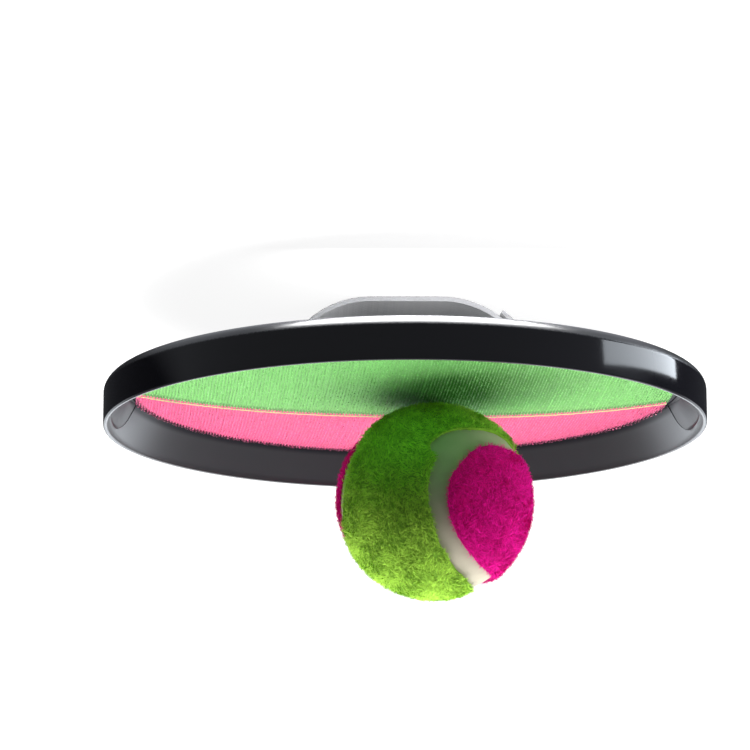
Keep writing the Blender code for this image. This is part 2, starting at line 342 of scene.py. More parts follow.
def felt_finish(name, base, light, glow):
    """Matted wool felt, or its loose fibres, with uneven dye and a faint painted glow in the felt's own
    colour. light scales the colour, and a lower light paints the matted felt darker, as shade under its
    fibres.
    """
    f = new_finish(name)
    shade = f.node("ShaderNodeAttribute", {"attribute_name": "shade"}, output="Fac")
    patches = f.noise(330.0, 3.0)
    wool = f.noise(1500.0, 3.0, roughness=0.7)
    blend = f.smooth(shade * 0.65 + patches * 0.25 + wool * 0.1, 0.15, 0.85)
    # Painted shade: light below 1 makes a darker copy of the colour.
    colour_mix = f.mix(blend, tone(base, 0.50 * light), tone(base, 1.45 * light))
    # Painted light: glow makes the felt glow faintly in its own colour, though it is no lamp.
    return f.principled(
        Base_Color=colour_mix, Roughness=0.86 + patches * 0.1, Normal=f.bump(wool, 0.2 * mm),
        Specular_IOR_Level=0.1, Sheen_Weight=0.25, Sheen_Roughness=0.5, Sheen_Tint=tone(base, 1.4),
        Emission_Color=base, Emission_Strength=glow)


def rubber_finish(base):
    f = new_finish("bare_rubber")
    dust = f.noise(160.0, 4.0)
    grain = f.noise(1800.0, 2.0)
    colour_mix = f.mix(dust, tone(base, 0.86), tone(base, 1.1))
    return f.principled(
        Base_Color=colour_mix, Roughness=0.55 + dust * 0.2, Normal=f.bump(grain * 0.5 + dust, 0.06 * mm),
        Specular_IOR_Level=0.35)


def webbing_finish(settings):
    """Twill weave on the webbing's own map, whose units are metres along and across."""
    f = new_finish("grey_webbing")
    place = f.node("ShaderNodeUVMap", {"uv_map": "ribbon"})
    across, along = f.part(place, "Y"), f.part(place, "X")
    turns = 2 * math.pi / settings.rib_pitch
    slant = (along * turns + across * (turns * 1.6)).math("SINE")
    counter = (along * (turns * 1.5) - across * (turns * 2.0)).math("SINE")
    fuzz = f.noise(2200.0, 3.0, roughness=0.7)
    weave = slant * 0.25 + counter * 0.20 + fuzz * 0.5 + 0.25
    wear = f.noise(60.0, 3.0)
    colour_mix = f.mix(weave * 0.8 + wear * 0.2, tone(settings.grey, 0.30), tone(settings.grey, 1.75))
    return f.principled(
        Base_Color=colour_mix, Roughness=0.8 + wear * 0.12, Normal=f.bump(weave, 0.12 * mm),
        Specular_IOR_Level=0.3, Sheen_Weight=0.2)


def thread_finish(base):
    f = new_finish("sewing_thread")
    twist = f.noise(3000.0, 1.0)
    colour_mix = f.mix(twist, tone(base, 0.7), tone(base, 1.3))
    return f.principled(Base_Color=colour_mix, Roughness=0.6 + twist * 0.1)


# Shared modelling steps

def deselect():
    bpy.ops.object.select_all(action="DESELECT")


def take(name):
    """The primitive that was just added, under its own name."""
    piece = bpy.context.active_object
    piece.name = name
    piece.data.name = name
    return piece


def activate(piece):
    deselect()
    piece.select_set(True)
    bpy.context.view_layer.objects.active = piece


def edit_all(piece):
    """Edit mode with everything selected."""
    activate(piece)
    bpy.ops.object.mode_set(mode="EDIT")
    bpy.ops.mesh.select_all(action="SELECT")


def leave_edit():
    bpy.ops.object.mode_set(mode="OBJECT")


def edit_faces(piece, test):
    """Edit mode with only the faces selected that pass a test."""
    edit_all(piece)
    bpy.ops.mesh.select_mode(type="FACE")
    bpy.ops.mesh.select_all(action="DESELECT")
    leave_edit()
    for face in piece.data.polygons:
        face.select = test(face)
    bpy.ops.object.mode_set(mode="EDIT")


def apply_modifier(piece, kind, **settings):
    activate(piece)
    step = piece.modifiers.new(kind.lower(), kind)
    for key, value in settings.items():
        setattr(step, key, value)
    bpy.ops.object.modifier_apply(modifier=step.name)


def cut_or_join(piece, tool, operation):
    apply_modifier(piece, "BOOLEAN", operation=operation, solver="EXACT", object=tool)
    bpy.data.objects.remove(tool, do_unlink=True)


def place_in_mesh(piece):
    activate(piece)
    bpy.ops.object.transform_apply(location=True, rotation=True, scale=True)


def normals_outward(piece):
    edit_all(piece)
    bpy.ops.mesh.remove_doubles(threshold=1e-6)
    bpy.ops.mesh.normals_make_consistent(inside=False)
    leave_edit()


def flip_normals(piece):
    edit_all(piece)
    bpy.ops.mesh.flip_normals()
    leave_edit()


def smooth_by_angle(piece, degrees=35.0):
    activate(piece)
    bpy.ops.object.shade_smooth_by_angle(angle=math.radians(degrees))


def dress(piece, material, slot, *nodes):
    """Material, body and the CAD nodes that the piece stands for. slot is not used."""
    piece.data.materials.clear()
    piece.data.materials.append(material)
    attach(piece, "root")
    if nodes:
        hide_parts(*nodes)


def coordinates(mesh):
    found = np.empty(len(mesh.vertices) * 3)
    mesh.vertices.foreach_get("co", found)
    return found.reshape(-1, 3)


def unit(vectors):
    return vectors / np.linalg.norm(vectors, axis=-1, keepdims=True)


def link(name, data):
    item = bpy.data.objects.new(name, data)
    bpy.context.scene.collection.objects.link(item)
    return item


def set_coordinates(mesh, places):
    mesh.vertices.foreach_set("co", np.asarray(places, float).ravel())
    mesh.update()


def turned(name, section, segments):
    """A ring at the section's first point, extruded from point to point, with both ends closed."""
    deselect()
    radius, height = section[0]
    bpy.ops.mesh.primitive_circle_add(vertices=segments, radius=radius, location=(0, 0, height))
    piece = take(name)
    edit_all(piece)
    for (before_r, before_z), (after_r, after_z) in zip(section, section[1:]):
        bpy.ops.mesh.extrude_edges_move(TRANSFORM_OT_translate={"value": (0, 0, after_z - before_z)})
        grow = after_r / before_r
        bpy.ops.transform.resize(value=(grow, grow, 1.0), center_override=(0, 0, 0))
    bpy.ops.mesh.select_all(action="SELECT")
    bpy.ops.mesh.fill_holes(sides=0)
    leave_edit()
    place_in_mesh(piece)
    normals_outward(piece)
    return piece


def arc(centre, radius, start, end, steps):
    """Points on an arc, angles in degrees."""
    points = []
    for i in range(steps + 1):
        a = math.radians(start + (end - start) * i / steps)
        points.append((centre[0] + radius * math.cos(a), centre[1] + radius * math.sin(a)))
    return points


def ribbons_mesh(name, strips, shades, facing=None):
    """One mesh of many like strips. strips is (strip, point, side, xyz), and each strip has one shade.

    facing gives every strip one normal, so that a nap is lit like the surface that it covers.
    """
    count, points = strips.shape[:2]
    verts = strips.reshape(-1, 3)
    step = np.arange(points - 1) * 2
    quad = np.stack([step, step + 2, step + 3, step + 1], axis=1)
    faces = (quad[None] + (np.arange(count) * points * 2)[:, None, None]).reshape(-1, 4)
    mesh = bpy.data.meshes.new(name)
    mesh.vertices.add(len(verts))
    mesh.loops.add(faces.size)
    mesh.polygons.add(len(faces))
    mesh.vertices.foreach_set("co", verts.ravel())
    mesh.loops.foreach_set("vertex_index", faces.ravel())
    mesh.polygons.foreach_set("loop_start", np.arange(len(faces)) * 4)
    mesh.update(calc_edges=True)
    mesh.shade_smooth()
    if facing is not None:
        mesh.normals_split_custom_set_from_vertices(np.repeat(facing, points * 2, axis=0).tolist())
    shade = mesh.attributes.new("shade", "FLOAT", "POINT")
    shade.data.foreach_set("value", np.repeat(shades, points * 2).astype(np.float32))
    side = math.ceil(math.sqrt(count))
    cell = np.stack([np.arange(count) % side, np.arange(count) // side], axis=1)[:, None, None]
    rise = np.linspace(0.1, 0.9, points)
    spot = np.stack(np.meshgrid(rise, (0.1, 0.9), indexing="ij"), axis=-1)[None]
    place = ((cell + spot) / side).reshape(-1, 2)
    cells = mesh.uv_layers.new(name=bake_map)
    cells.data.foreach_set("uv", place[faces.ravel()].astype(np.float32).ravel())
    return link(name, mesh)


# Paddle shell

def crown_depth(radius):
    """Depth of the hook tips below the lip."""
    pads = bpy.context.scene.catch_pad
    fall = np.minimum(radius / pads.radius, 1.0) ** pads.crown_power
    return pads.centre_depth + (pads.edge_depth - pads.centre_depth) * fall


def plate_front_depth(radius):
    pads = bpy.context.scene.catch_pad
    return crown_depth(radius) + pads.thickness + pads.gap


def wall_radius(depth):
    """Radius of the flared inner wall, from the lip down to the plate."""
    shell, pads = bpy.context.scene.catch_shell, bpy.context.scene.catch_pad
    part = (depth - shell.lip_round) / (plate_front_depth(pads.radius) - shell.lip_round)
    inner = shell.radius - shell.lip_width
    return inner + (pads.radius + pads.gap - inner) * part


def shell_section(shell, pads):
    """(radius, z) from near the axis on the front, over the lip and the shoulder, to the back."""
    shares = [0.04 + 0.96 * (i / 22) ** 0.8 for i in range(23)]
    lip_z = shell.lip_height
    front = [(s * pads.radius, lip_z - plate_front_depth(s * pads.radius)) for s in shares]
    floor_depth = plate_front_depth(pads.radius)
    front.append((pads.radius + pads.gap, lip_z - floor_depth))
    wall = [(wall_radius(d), lip_z - d) for d in np.linspace(floor_depth, shell.lip_round, 9)[1:-1]]
    inner = shell.radius - shell.lip_width + shell.lip_round
    lip = arc((inner, lip_z - shell.lip_round), shell.lip_round, 180.0, 90.0, 8)
    lip += arc((shell.radius - shell.lip_round, lip_z - shell.lip_round), shell.lip_round, 90.0, 0.0, 8)
    centre = (shell.radius - shell.shoulder, shell.back_height + shell.shoulder)
    shoulder = arc(centre, shell.shoulder, 0.0, -90.0, 18)
    back = [(r, z - shell.plate_wall) for r, z in reversed(front[:-1])]
    return front + wall + lip + shoulder + back


def scoop_cutter(name, heading, shell, pads):
    """A cube, finely subdivided, whose points are laid on the scoop's form, a bowl deepest at its foot."""
    deselect()
    bpy.ops.mesh.primitive_cube_add(size=2.0)
    piece = take(name)
    edit_all(piece)
    bpy.ops.mesh.subdivide(number_cuts=31)
    leave_edit()
    step = 0.4 * mm
    bottom = plate_front_depth(pads.radius) - step
    top = shell.scoop_top - step
    inner = pads.radius + pads.gap - 2 * shell.scoop_depth
    for vertex in piece.data.vertices:
        turn, out, high = vertex.co
        depth = bottom + (top - bottom) * (high + 1) / 2
        part = (depth - shell.scoop_top) / (bottom - shell.scoop_top)
        bowl = 0.15 + 0.85 * (1.0 - abs(turn) ** 2.5)
        bite = shell.scoop_depth * bowl * (0.3 * min(part / 0.08, 1.0) + 0.7 * part)
        rise = (shell.scoop_top + shell.scoop_corner_height - depth) / shell.scoop_corner_height
        rise = min(max(rise, 0.0), 1.0)
        corner = shell.scoop_corner_width * (1.0 - math.sqrt(1.0 - rise ** 2)) / shell.radius
        half = shell.scoop_half_angle - corner
        radius = inner + (wall_radius(depth) + bite - inner) * (out + 1) / 2
        here = heading + half * turn
        vertex.co = (radius * math.cos(here), radius * math.sin(here), shell.lip_height - depth)
    normals_outward(piece)
    return piece


def strap_bridge(name, side, shell, pads, strap):
    """A bar with a post at both ends, which the strap goes round."""
    near = strap.arch_half + pads.gap
    post_in = strap.width / 2 + shell.bar_play
    post_out = post_in + shell.post_width
    root_radius = math.hypot(near, post_in)
    root = shell.lip_height - plate_front_depth(root_radius) - shell.plate_wall / 2
    under = shell.back_height + shell.bar_thickness
    deselect()
    bpy.ops.mesh.primitive_cube_add(
        size=1.0, scale=(shell.bar_width, 2 * post_out, shell.bar_thickness),
        location=(side * (near + shell.bar_width / 2), 0, under - shell.bar_thickness / 2))
    piece = take(name)
    place_in_mesh(piece)
    edit_all(piece)
    for cut in (-post_in, post_in):
        bpy.ops.mesh.select_all(action="SELECT")
        bpy.ops.mesh.bisect(plane_co=(0, cut, 0), plane_no=(0, 1, 0))
    leave_edit()
    edit_faces(piece, lambda face: face.normal.z > 0.9 and abs(face.center.y) > post_in)
    bpy.ops.mesh.extrude_region_move(TRANSFORM_OT_translate={"value": (0, 0, root - under)})
    leave_edit()
    apply_modifier(piece, "BEVEL", width=0.45 * mm, segments=4, limit_method="ANGLE")
    normals_outward(piece)
    return piece


class CATCH_OT_shell(bpy.types.Operator):
    """Model the glossy paddle shell with its scoops and strap bars"""

    bl_idname = "catch.shell"
    bl_label = "Paddle shell"

    def execute(self, context):
        scene = context.scene
        shell, pads, strap = scene.catch_shell, scene.catch_pad, scene.catch_strap
        piece = turned("paddle_moulding", shell_section(shell, pads), shell.segments)
        for name, heading in (("scoop_right", 0.0), ("scoop_left", math.pi)):
            cut_or_join(piece, scoop_cutter(name, heading, shell, pads), "DIFFERENCE")
        for name, side in (("bridge_right", 1), ("bridge_left", -1)):
            cut_or_join(piece, strap_bridge(name, side, shell, pads, strap), "UNION")
        smooth_by_angle(piece, 30.0)
        dress(piece, black_moulding(shell, pads), "shell_plastic", "paddle_shell")
        return {"FINISHED"}


# Hook pads

def pad_edge(x, side, pads):
    """Distance of the round edge from the diameter, on the pad's own axes."""
    return side * np.sqrt(np.maximum(pads.radius ** 2 - x ** 2, 0.0))


def on_pad(x, y, rise, shell, pads):
    """World places of points on the pad's own axes, at a height above the hook tips' surface."""
    cosine, sine = math.cos(pads.turn), math.sin(pads.turn)
    z = shell.lip_height - crown_depth(np.hypot(x, y)) + rise
    return np.stack([x * cosine - y * sine, x * sine + y * cosine, z], axis=-1)


def pad_backing(name, side, shell, pads):
    """A grid wrapped onto the dome, cut to the pad's outline, and given its thickness."""
    deselect()
    bpy.ops.mesh.primitive_grid_add(x_subdivisions=860, y_subdivisions=13, size=2.0)
    piece = take(name)
    flat = coordinates(piece.data)
    x = pads.end_half * flat[:, 0]
    split = pads.split_offset + pads.split_shift + side * pads.gap / 2
    inset, fray = 0.25 * mm, 0.11 * mm
    frayed = fray * (np.sin(x * 2900.0) + np.sin(x * 1730.0 + 1.0))
    edge = pad_edge(x, side, pads) - side * (inset + frayed)
    y = split + (edge - split) * (flat[:, 1] + 1) / 2
    ridge = pads.ridge * (np.cos(x * 2 * math.pi / pads.row_pitch) - 1)
    set_coordinates(piece.data, on_pad(x, y, pads.backing - pads.thickness + ridge, shell, pads))
    normals_outward(piece)
    if piece.data.polygons[0].normal.z < 0:
        flip_normals(piece)
    apply_modifier(piece, "SOLIDIFY", thickness=pads.backing - 2 * pads.ridge, offset=-1.0)
    smooth_by_angle(piece, 60.0)
    return piece


def hook_path(pads):
    """One hook from its foot up and over: (sideways, height) points, at full size."""
    tall = pads.thickness - pads.backing
    spots = [(-0.30, 0.0), (-0.30, 0.62), (0.02, 1.0), (0.32, 0.88), (0.40, 0.55)]
    return np.array(spots) * (1.3 * tall, tall)


def selvedge(split, points, shell, pads, rng):
    """Short upright strips of pale yarn, one after the other along the split line."""
    pitch, over = 0.9 * mm, 0.3 * mm
    start = np.arange(-pads.end_half, pads.end_half - pitch, pitch)
    x = np.repeat((start[:, None] + np.linspace(0, pitch + over, points))[..., None], 2, axis=2)
    y = np.full_like(x, split) + rng.normal(0, 0.06 * mm, (len(start), 1, 1))
    y[..., 0] -= over
    rise = np.zeros_like(x)
    rise[..., 1] = rng.uniform(0.14 * mm, 0.28 * mm, (len(start), 1))
    return on_pad(x, y, rise, shell, pads)


def pad_hooks(name, side, shell, pads, rng):
    """Rows of nylon hooks across the split line, frayed at the rim, with painted glints and painted shade
    along the rim. The green part has the selvedge.
    """
    rows = int(pads.end_half / pads.row_pitch)
    split = pads.split_offset + pads.split_shift + side * pads.gap / 2
    found = []
    for row in range(-rows, rows + 1):
        x = row * pads.row_pitch
        edge = float(pad_edge(x, side, pads))
        run = abs(edge - split) if (edge - split) * side > 0 else 0.0
        count = int(run / pads.hook_pitch)
        if count < 1:
            continue
        start = rng.random() * pads.hook_pitch
        y = split + side * (start + np.arange(count) * pads.hook_pitch)
        bright = rng.random() ** 3
        found.append(np.stack([np.full(count, x), y, np.full(count, bright), np.full(count, edge)], axis=1))
    hooks = np.concatenate(found)
    count = len(hooks)
    stray_across, stray_along = 0.07 * mm, 0.16 * mm
    x = hooks[:, 0] + rng.normal(0, stray_across, count)
    y = hooks[:, 1] + rng.normal(0, stray_along, count)
    shades = 0.37 + 0.22 * hooks[:, 2] + rng.random(count) * 0.25
    hem = np.abs(hooks[:, 1] - split)
    banded = (hem > 0.6 * mm) & (hem < pads.hem_band) & (side < 0)
    # Painted highlights: some hooks, more of them in the band by the split, get the light glint shade.
    glint = rng.random(count) < np.where(banded, 0.22, 0.10)
    shades[glint] = glint_shade
    shades[banded & ~glint] -= 0.22
    # Painted shade: hooks along the rim are darkened, as where the pad meets the wall.
    rim = np.abs(hooks[:, 1] - hooks[:, 3]) < pads.rim_shade_band
    shades[rim & ~glint] *= 0.30
    heading = rng.choice((0.0, math.pi), count) + rng.normal(0, 0.5, count)
    size = 1.0 - 0.22 * rng.random(count) + 0.10 * hooks[:, 2] + 1.3 * rim * rng.random(count)
    path = hook_path(pads)
    out = path[None, :, 0] * size[:, None]
    lift = path[None, :, 1] * size[:, None]
    lean = rng.normal(0, 0.18, (count, 2))
    along = np.stack([np.cos(heading), np.sin(heading)], axis=1)
    over = np.stack([-along[:, 1], along[:, 0]], axis=1)
    width = pads.hook_width / 2 * np.array([1.0, 0.95, 0.9, 0.8, 0.45])
    flat = (np.stack([x, y], axis=1)[:, None] + out[..., None] * along[:, None]
            + lift[..., None] * lean[:, None])
    sides = np.array([-1.0, 1.0])[None, None, :, None] * width[None, :, None, None]
    pairs = flat[:, :, None] + sides * over[:, None, None]
    rise = pads.backing - pads.thickness - 0.05 * mm + lift
    strips = on_pad(pairs[..., 0], pairs[..., 1], np.repeat(rise[..., None], 2, axis=2), shell, pads)
    if side < 0:
        yarn = selvedge(split, len(path), shell, pads, rng)
        strips = np.concatenate([strips, yarn])
        shades = np.concatenate([shades, np.full(len(yarn), yarn_shade)])
    return ribbons_mesh(name, strips, shades)


class CATCH_OT_hook_pads(bpy.types.Operator):
    """Model both parts of the hook pad: knitted backing and rows of hooks"""

    bl_idname = "catch.hook_pads"
    bl_label = "Hook pads"

    def execute(self, context):
        shell, pads = context.scene.catch_shell, context.scene.catch_pad
        rng = np.random.default_rng(11)
        for word, side, base, dark_hem in (("green", -1, pads.green, 0.8), ("pink", 1, pads.pink, 0.0)):
            slot = f"hook_fabric_{word}"
            backing = pad_backing(f"pad_backing_{word}", side, shell, pads)
            knitted = backing_finish(f"{word}_backing", base, dark_hem, pads)
            dress(backing, knitted, slot, f"hook_pad_{word}")
            hooks = pad_hooks(f"pad_hooks_{word}", side, shell, pads, rng)
            dress(hooks, hook_finish(f"{word}_hooks", base), slot)
        return {"FINISHED"}


# Hand strap

def arch_point(turn, lift, shell, pads, strap):
    """Middle of the webbing on the +X half of the arch; 0 is the crest, a right angle the upright end."""
    over = shell.back_height + shell.bar_thickness + pads.gap + strap.thickness / 2
    spring = over - strap.bend
    run = strap.arch_half - strap.thickness / 2 - strap.crest_half
    rise = spring - strap.thickness / 2
    out = Vector((rise * math.sin(turn), -run * math.cos(turn))).normalized()
    base = Vector((strap.crest_half + run * math.sin(turn), spring - rise * math.cos(turn)))
    return base + lift * out


def strap_end(last, shell, pads, strap):
    """Webbing from the crest out over the bar, round it and back along the arch's outside."""
    middle = strap.thickness / 2
    points = [arch_point(math.pi / 2 * i / 40, 0.0, shell, pads, strap) for i in range(41)]
    foot = points[-1]
    bend = foot + Vector((strap.bend, 0.0))
    points += [Vector(p) for p in arc(bend, strap.bend, 180.0, 90.0, 8)[1:]]
    bar_middle = (strap.arch_half + pads.gap + shell.bar_width, shell.back_height + shell.bar_thickness / 2)
    turn_radius = shell.bar_thickness / 2 + pads.gap + middle
    points += [Vector(p) for p in arc(bar_middle, turn_radius, 90.0, -90.0, 20)]
    lift = strap.thickness + pads.gap
    under = shell.back_height - pads.gap - middle
    second = (foot.x + lift + strap.bend, under - strap.bend)
    points += [Vector(p) for p in arc(second, strap.bend, 90.0, 180.0, 8)]
    first = math.acos((foot.y - second[1]) / (foot.y - middle)) - math.radians(2.0)
    for i in range(1, 31):
        points.append(arch_point(first + (last - first) * i / 30, lift, shell, pads, strap))
    return points


def strap_path(shell, pads, strap):
    left = [Vector((-p.x, p.y)) for p in strap_end(strap.long_end, shell, pads, strap)]
    path = list(reversed(left)) + strap_end(strap.short_end, shell, pads, strap)
    kept = [path[0]]
    for point in path[1:]:
        if (point - kept[-1]).length > 0.02 * mm:
            kept.append(point)
    return np.array([tuple(p) for p in kept])


def strap_frame(distance, path):
    """Places and outward normals in the XZ plane, at distances along the path."""
    steps = np.linalg.norm(np.diff(path, axis=0), axis=1)
    run = np.concatenate([[0.0], np.cumsum(steps)])
    reach = 0.15 * mm
    here = np.stack([np.interp(distance, run, path[:, i]) for i in (0, 1)], axis=1)
    ahead = np.stack([np.interp(distance + reach, run, path[:, i]) for i in (0, 1)], axis=1)
    behind = np.stack([np.interp(distance - reach, run, path[:, i]) for i in (0, 1)], axis=1)
    along = unit(ahead - behind)
    return here, np.stack([along[:, 1], -along[:, 0]], axis=1), run[-1]


def webbing(name, shell, pads, strap):
    """A grid laid along the strap's path, with raised ribs, thin edges and its own map in metres."""
    path = strap_path(shell, pads, strap)
    whole = strap_frame(np.zeros(1), path)[2]
    columns, rows = 400, 64
    deselect()
    bpy.ops.mesh.primitive_grid_add(x_subdivisions=columns, y_subdivisions=rows, size=2.0)
    piece = take(name)
    flat = coordinates(piece.data)
    distance = (flat[:, 0] + 1) / 2 * whole
    y = flat[:, 1] * strap.width / 2
    here, normal = strap_frame(distance, path)[:2]
    phase = 2 * math.pi / strap.rib_pitch
    ribs = np.sin(distance * phase + y * phase * 0.9) * np.sin(distance * phase * 0.5 - y * phase * 0.9)
    height = strap.rib_height * ribs
    edge_width, edge_drop = 1.6 * mm, 0.30 * mm
    edge = np.clip((np.abs(y) - strap.width / 2 + edge_width) / edge_width, 0, 1)
    height = height * (1 - edge) - edge_drop * edge ** 3
    lift = strap.thickness / 2 - strap.rib_height + height
    places = np.stack([here[:, 0] + normal[:, 0] * lift, y, here[:, 1] + normal[:, 1] * lift], axis=1)
    set_coordinates(piece.data, places)
    ribbon = piece.data.uv_layers.new(name="ribbon")
    spots = np.stack([distance, y], axis=1)
    corner = np.empty(len(piece.data.loops), int)
    piece.data.loops.foreach_get("vertex_index", corner)
    ribbon.data.foreach_set("uv", spots[corner].astype(np.float32).ravel())
    crest = piece.data.polygons[rows // 2 * columns + columns // 2]
    if crest.normal.z > 0:
        flip_normals(piece)
    apply_modifier(piece, "SOLIDIFY", thickness=strap.thickness - 2 * strap.rib_height, offset=-1.0)
    smooth_by_angle(piece, 50.0)
    return piece


def stitches(name, shell, pads, strap):
    """Rows of thread on both return ends: a crossed box on the sewn end and two lines on the other."""
    path = strap_path(shell, pads, strap)
    whole = strap_frame(np.zeros(1), path)[2]
    inset, box = 2.6 * mm, 11.0 * mm
    half = strap.width / 2 - 4.0 * mm
    low, high = whole - inset - box, whole - inset
    lines = [((low, -half), (low, half)), ((high, -half), (high, half)), ((low, -half), (high, -half)),
             ((low, half), (high, half)), ((low, -half), (high, half)), ((low, half), (high, -half)),
             ((inset, -half), (inset, half)), ((inset * 2, -half), (inset * 2, half))]
    deselect()
    bpy.ops.mesh.primitive_uv_sphere_add(segments=8, ring_count=6, radius=1.0)
    one = take("stitch")
    form = coordinates(one.data)
    faces = [tuple(face.vertices) for face in one.data.polygons]
    bpy.data.objects.remove(one, do_unlink=True)
    pitch, long, thick = 2.4 * mm, 1.0 * mm, 0.22 * mm
    verts, skins = [], []
    for start, end in lines:
        start, end = np.array(start), np.array(end)
        run = np.linalg.norm(end - start)
        for i in range(int(run / pitch)):
            middle = start + (end - start) * (i + 0.5) * pitch / run
            heading = (end - start) / run
            here, normal = strap_frame(middle[:1], path)[:2]
            outward = -np.array([normal[0, 0], 0.0, normal[0, 1]])
            along = np.array([-normal[0, 1], 0.0, normal[0, 0]])
            ahead = along * heading[0] + np.array([0.0, heading[1], 0.0])
            sideways = np.cross(outward, ahead)
            surface = strap.thickness / 2 + 0.02 * mm
            centre = np.array([here[0, 0], middle[1], here[0, 1]]) + outward * surface
            base = len(verts) * len(form)
            verts.append(centre + form[:, :1] * long * ahead + form[:, 1:2] * thick * sideways
                         + form[:, 2:] * thick * 0.8 * outward)
            skins += [tuple(index + base for index in face) for face in faces]
    mesh = bpy.data.meshes.new(name)
    mesh.from_pydata(np.concatenate(verts).tolist(), [], skins)
    piece = link(name, mesh)
    normals_outward(piece)
    mesh.shade_smooth()
    return piece


class CATCH_OT_strap(bpy.types.Operator):
    """Model the woven hand strap and its stitching"""

    bl_idname = "catch.strap"
    bl_label = "Hand strap"

    def execute(self, context):
        scene = context.scene
        shell, pads, strap = scene.catch_shell, scene.catch_pad, scene.catch_strap
        ribbon = webbing("strap_webbing", shell, pads, strap)
        dress(ribbon, webbing_finish(strap), "strap_webbing", "hand_strap")
        dress(stitches("strap_stitching", shell, pads, strap), thread_finish(strap.thread), "strap_webbing")
        return {"FINISHED"}


# Ball

ball_centre = (core_low + core_high) / 2


def ball_radius(ball):
    return (core_high.x - core_low.x) / 2 + ball.felt + ball.clearance


def seam_direction(t, ball):
    """Unit vector to the seam's middle: the curve of a tennis ball."""
    wide = ball.seam_share
    narrow = 1.0 - wide
    lift = 2.0 * math.sqrt(wide * narrow)
    x = wide * math.cos(t) + narrow * math.cos(3 * t)
    y = wide * math.sin(t) - narrow * math.sin(3 * t)
    return Vector((x, y, lift * math.sin(2 * t))).normalized()


def panel_edge(t, wave, cuts, ball):
    """Unit vector to a panel's hand-cut edge, half a seam in from the seam's middle.

    A cut is (where, spread, depth across the seam, depth towards the panel's middle).
    """
    step = 0.01
    here = seam_direction(t, ball)
    along = (seam_direction(t + step, ball) - seam_direction(t - step, ball)).normalized()
    inward = here.cross(along)
    wobble = math.sin(9 * t + wave) + 0.6 * math.sin(23 * t + 2 * wave) + 0.45 * math.sin(47 * t + 3 * wave)
    inset, pull = ball.seam_width / 2 + 0.20 * mm * wobble, 0.0
    for where, spread, across, poleward in cuts:
        away = (t - where + math.pi) % (2 * math.pi) - math.pi
        fall = math.exp(-(away / spread) ** 2)
        inset += across * fall
        pull += poleward * fall
    turn = inset / ball_radius(ball)
    edge = (here * math.cos(turn) + inward * math.sin(turn)).normalized()
    pole = Vector((0.0, 0.0, 1.0))
    return edge.slerp(pole, pull / (ball_radius(ball) * edge.angle(pole)))


lump_phase = 6.28


def lumps(directions, wave):
    """Soft uneven matting of the felt, from -1 to 1, at unit directions."""
    total = np.zeros(len(directions))
    rng = np.random.default_rng(int(wave * 10) + 5)
    for scale, weight in ((9.0, 0.4), (21.0, 0.3), (43.0, 0.3)):
        for _ in range(3):
            axis = unit(rng.normal(size=3))
            total += weight / 3 * np.sin(directions @ axis * scale + rng.random() * lump_phase)
    return total


def felt_panel(name, half_turn, wave, cuts, ball):
    """A sphere pressed into one panel: its upper half is the felt's outside, its lower half the inside."""
    deselect()
    bpy.ops.mesh.primitive_uv_sphere_add(segments=240, ring_count=120, radius=1.0)
    piece = take(name)
    pole = Vector((0.0, 0.0, 1.0))
    round_place = coordinates(piece.data)
    t = np.arctan2(round_place[:, 1], round_place[:, 0]) % (2 * math.pi)
    way = np.arccos(np.clip(round_place[:, 2], -1, 1)) / (math.pi / 2)
    inside = way > 1.001
    s = 1 - np.abs(1 - way)
    edges = {}
    directions = np.empty((len(t), 3))
    for i, (turn, part) in enumerate(zip(t, s)):
        key = round(turn, 5)
        if key not in edges:
            edges[key] = panel_edge(turn, wave, cuts, ball)
        directions[i] = pole.slerp(edges[key], float(min(part, 1.0)))
    outer = ball_radius(ball) - ball.nap
    edge_share, edge_drop, lump_height, off_core = 0.07, 0.45 * mm, 0.13 * mm, 0.05 * mm
    rounded = np.clip((s - 1 + edge_share) / edge_share, 0, 1) ** 2 * edge_drop
    radius = outer + lump_height * lumps(directions, wave) - rounded
    radius[inside] = ball_radius(ball) - ball.felt - ball.clearance + off_core
    place = (Euler(ball.turn).to_matrix() @ half_turn).transposed()
    set_coordinates(piece.data, directions * radius[:, None] @ np.array(place) + np.array(ball_centre))
    normals_outward(piece)
    smooth_by_angle(piece, 60.0)
    return piece


def scatter(piece, count, rng):
    """Random points on a piece's outer faces, by area, with their directions from the ball's middle."""
    mesh = piece.data
    mesh.calc_loop_triangles()
    corner = np.empty(len(mesh.loop_triangles) * 3, int)
    mesh.loop_triangles.foreach_get("vertices", corner)
    place = coordinates(mesh)[corner.reshape(-1, 3)]
    cross = np.cross(place[:, 1] - place[:, 0], place[:, 2] - place[:, 0])
    outward = place.mean(axis=1) - np.array(ball_centre)
    size = np.linalg.norm(cross, axis=1)
    facing = (cross * outward).sum(axis=1) > 0.6 * size * np.linalg.norm(outward, axis=1)
    area = size * facing
    chosen = rng.choice(len(area), count, p=area / area.sum())
    a, b = rng.random(count), rng.random(count)
    over = a + b > 1
    a[over], b[over] = 1 - a[over], 1 - b[over]
    first, second, third = place[chosen].transpose(1, 0, 2)
    points = first + a[:, None] * (second - first) + b[:, None] * (third - first)
    return points, unit(points - np.array(ball_centre))


